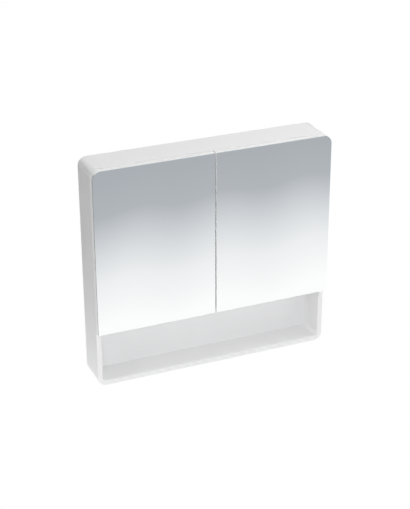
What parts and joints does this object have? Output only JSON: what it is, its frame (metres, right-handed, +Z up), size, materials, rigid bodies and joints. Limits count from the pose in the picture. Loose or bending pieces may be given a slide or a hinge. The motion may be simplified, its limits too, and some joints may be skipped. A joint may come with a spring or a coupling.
{
  "type": "mirrored wall cabinet",
  "caption": "White wall cabinet with rounded corners, mirror doors on hidden cup hinges, glass shelves behind them and an open niche below.",
  "frame": {"origin": "middle of the rectangle of wall screws, on the wall's plane", "axes": "+X to the right seen from the front, +Y into the wall, +Z up; the doors face -Y"},
  "size_m": [0.75, 0.13, 0.7],
  "materials": {
    "white_lacquer": "smooth satin white lacquer on board",
    "white_back": "satin white faced board",
    "white_board": "satin white faced board",
    "white_band": "smooth white edge band",
    "mirror": "silvered glass with polished edges",
    "shelf_glass": "clear glass, polished edges",
    "dowel_wood": "fluted beech",
    "bumper_rubber": "clear soft pad",
    "white_plastic": "moulded white plastic",
    "zinc_steel": "zinc-plated steel",
    "nickel_steel": "nickel-plated steel"
  },
  "bodies": {
    "cabinet": {"carcass_shell": "white_lacquer", "niche_roof": "white_lacquer", "centre_partition": "white_lacquer", "back_panel": "white_back", "panel_dowels": "dowel_wood", "back_panel_screws": "zinc_steel", "left_upper_glass_shelf": "shelf_glass", "left_lower_glass_shelf": "shelf_glass", "right_upper_glass_shelf": "shelf_glass", "right_lower_glass_shelf": "shelf_glass", "shelf_pins": "nickel_steel", "door_bumpers": "bumper_rubber", "left_upper_hinge_arm": "nickel_steel", "left_lower_hinge_arm": "nickel_steel", "right_upper_hinge_arm": "nickel_steel", "right_lower_hinge_arm": "nickel_steel", "left_upper_hinge_plate": "nickel_steel", "left_lower_hinge_plate": "nickel_steel", "right_upper_hinge_plate": "nickel_steel", "right_lower_hinge_plate": "nickel_steel", "hinge_arm_pins": "nickel_steel", "hinge_plate_screws": "nickel_steel", "hinge_arm_screws": "nickel_steel", "left_wall_plate": "zinc_steel", "right_wall_plate": "zinc_steel", "left_hanger_hook": "zinc_steel", "right_hanger_hook": "zinc_steel", "left_hanger_housing": "white_plastic", "right_hanger_housing": "white_plastic", "left_hanger_cover": "white_plastic", "right_hanger_cover": "white_plastic", "hanger_adjusting_screws": "zinc_steel", "hanger_fixing_screws": "zinc_steel"},
    "left_outer_links": {"left_upper_outer_link": "nickel_steel", "left_lower_outer_link": "nickel_steel"},
    "left_door": {"left_door_board": "white_board", "left_door_edge_band": "white_band", "left_mirror_glass": "mirror", "left_upper_hinge_cup": "nickel_steel", "left_lower_hinge_cup": "nickel_steel", "left_cup_pins": "nickel_steel", "left_cup_screws": "nickel_steel"},
    "left_inner_links": {"left_upper_inner_link": "nickel_steel", "left_lower_inner_link": "nickel_steel"},
    "right_outer_links": {"right_upper_outer_link": "nickel_steel", "right_lower_outer_link": "nickel_steel"},
    "right_door": {"right_door_board": "white_board", "right_door_edge_band": "white_band", "right_mirror_glass": "mirror", "right_upper_hinge_cup": "nickel_steel", "right_lower_hinge_cup": "nickel_steel", "right_cup_pins": "nickel_steel", "right_cup_screws": "nickel_steel"},
    "right_inner_links": {"right_upper_inner_link": "nickel_steel", "right_lower_inner_link": "nickel_steel"}
  },
  "joints": [
    {"name": "left_outer_link_swing", "type": "hinge", "parent": "cabinet", "child": "left_outer_links", "pos_m": [-0.35, -0.092, 0], "axis": [0, 0, -1], "range_deg": [-28.5, 0]},
    {"name": "left_door_hinge", "type": "hinge", "parent": "left_outer_links", "child": "left_door", "pos_m": [-0.367, -0.114, 0], "axis": [0, 0, -1], "range_deg": [0, 123.5]},
    {"name": "left_inner_link_swing", "type": "hinge", "parent": "left_door", "child": "left_inner_links", "pos_m": [-0.3615, -0.113, 0], "axis": [0, 0, -1], "range_deg": [-123.5, 0]},
    {"name": "right_outer_link_swing", "type": "hinge", "parent": "cabinet", "child": "right_outer_links", "pos_m": [0.35, -0.092, 0], "axis": [0, 0, 1], "range_deg": [-28.5, 0]},
    {"name": "right_door_hinge", "type": "hinge", "parent": "right_outer_links", "child": "right_door", "pos_m": [0.367, -0.114, 0], "axis": [0, 0, 1], "range_deg": [0, 123.5]},
    {"name": "right_inner_link_swing", "type": "hinge", "parent": "right_door", "child": "right_inner_links", "pos_m": [0.3615, -0.113, 0], "axis": [0, 0, 1], "range_deg": [-123.5, 0]}
  ],
  "couplings": [
    {"joint": "left_outer_link_swing", "follows": "left_door_hinge", "ratio": -0.23077},
    {"joint": "left_inner_link_swing", "follows": "left_door_hinge", "ratio": -1},
    {"joint": "right_outer_link_swing", "follows": "right_door_hinge", "ratio": -0.23077},
    {"joint": "right_inner_link_swing", "follows": "right_door_hinge", "ratio": -1}
  ]
}
